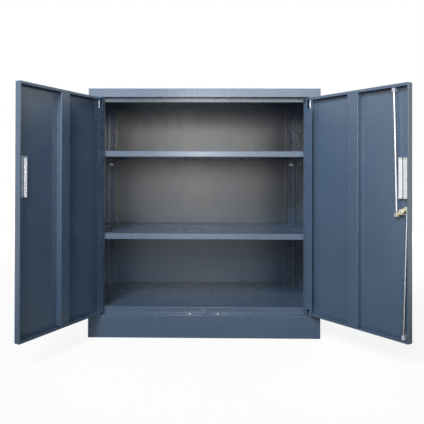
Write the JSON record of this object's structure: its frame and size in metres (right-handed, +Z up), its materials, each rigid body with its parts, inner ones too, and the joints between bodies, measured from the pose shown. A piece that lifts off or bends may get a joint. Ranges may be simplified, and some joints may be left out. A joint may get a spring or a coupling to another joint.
{
  "type": "tool cabinet",
  "caption": "Steel tool cabinet with hinged doors standing open, slotted uprights, shelves on clips, flush pull handles and a cam lock that drives locking rods.",
  "frame": {"origin": "middle of the front bottom edge, on the floor, in the plane of the cabinet's front", "axes": "+X to the right of someone facing the cabinet, +Y to its back, +Z up"},
  "size_m": [1.3148, 0.8718, 1],
  "materials": {
    "cabinet_paint": "semi-gloss dark blue-grey powder coat",
    "zinc_steel": "bright zinc plate",
    "handle_metal": "satin anodised",
    "lock_chrome": "polished",
    "cam_brass": "yellow passivated",
    "white_nylon": "matte",
    "grey_rubber": "matte",
    "back_paint": "plain grey powder coat"
  },
  "bodies": {
    "case": {"side_panel_left": "cabinet_paint", "side_panel_right": "cabinet_paint", "back_panel": "back_paint", "top_panel": "cabinet_paint", "top_stop_rail": "cabinet_paint", "plinth": "cabinet_paint", "floor_pan": "cabinet_paint", "rear_upright_left": "cabinet_paint", "rear_upright_right": "cabinet_paint", "front_upright_left": "cabinet_paint", "front_upright_right": "cabinet_paint", "shelf_lower": "cabinet_paint", "shelf_upper": "cabinet_paint", "shelf_clips_lower": "zinc_steel", "shelf_clips_upper": "zinc_steel", "hinge_bushes": "white_nylon", "door_rests": "white_nylon", "centre_buffer": "grey_rubber"},
    "left_door": {"left_door_panel": "cabinet_paint", "left_door_stiffener": "cabinet_paint", "left_bolt_bracket": "cabinet_paint", "left_bolt_spring": "zinc_steel", "left_pin_plate": "cabinet_paint", "left_lower_pin": "zinc_steel", "left_handle": "handle_metal"},
    "right_door": {"right_door_panel": "cabinet_paint", "right_door_stiffener": "cabinet_paint", "right_bolt_bracket": "cabinet_paint", "right_bolt_spring": "zinc_steel", "right_pin_plate": "cabinet_paint", "right_lower_pin": "zinc_steel", "right_handle": "handle_metal", "lock_body": "lock_chrome", "lock_nut": "zinc_steel", "upper_rod_guide": "white_nylon", "lower_rod_guide": "white_nylon"},
    "left_bolt": {"left_hinge_bolt": "zinc_steel"},
    "right_bolt": {"right_hinge_bolt": "zinc_steel"},
    "lock_core": {"lock_plug": "lock_chrome", "lock_cam": "cam_brass", "cam_studs": "zinc_steel", "cam_screw": "zinc_steel"},
    "upper_rod": {"upper_rod": "zinc_steel"},
    "lower_rod": {"lower_rod": "zinc_steel"}
  },
  "joints": [
    {"name": "left_door_hinge", "type": "hinge", "parent": "case", "child": "left_door", "pos_m": [-0.425, 0.007, 0.5], "axis": [0, 0, 1], "range_deg": [-7.2, 118.8]},
    {"name": "right_door_hinge", "type": "hinge", "parent": "case", "child": "right_door", "pos_m": [0.425, 0.007, 0.5], "axis": [0, 0, 1], "range_deg": [-126, 0]},
    {"name": "left_bolt_slide", "type": "slide", "parent": "left_door", "child": "left_bolt", "axis": [0, 0, -1], "range_m": [0, 0.012], "stiffness_N_per_m": 300, "springref_m": -0.01, "deforming": ["left_bolt_spring"]},
    {"name": "right_bolt_slide", "type": "slide", "parent": "right_door", "child": "right_bolt", "axis": [0, 0, -1], "range_m": [0, 0.012], "stiffness_N_per_m": 300, "springref_m": -0.01, "deforming": ["right_bolt_spring"]},
    {"name": "lock_turn", "type": "hinge", "parent": "right_door", "child": "lock_core", "pos_m": [0.64776, -0.32002, 0.531], "axis": [0.809, 0.5878, 0], "range_deg": [0, 66]},
    {"name": "upper_rod_slide", "type": "slide", "parent": "right_door", "child": "upper_rod", "axis": [-0.0138, 0.0189, 0.9997], "range_m": [0, 0.02233]},
    {"name": "lower_rod_slide", "type": "slide", "parent": "right_door", "child": "lower_rod", "axis": [-0.0172, 0.0236, -0.9996], "range_m": [0, 0.02233]}
  ],
  "couplings": [
    {"joint": "lock_turn", "follows": "upper_rod_slide", "rad_per_m": 51.586},
    {"joint": "lower_rod_slide", "follows": "upper_rod_slide", "ratio": 1}
  ]
}
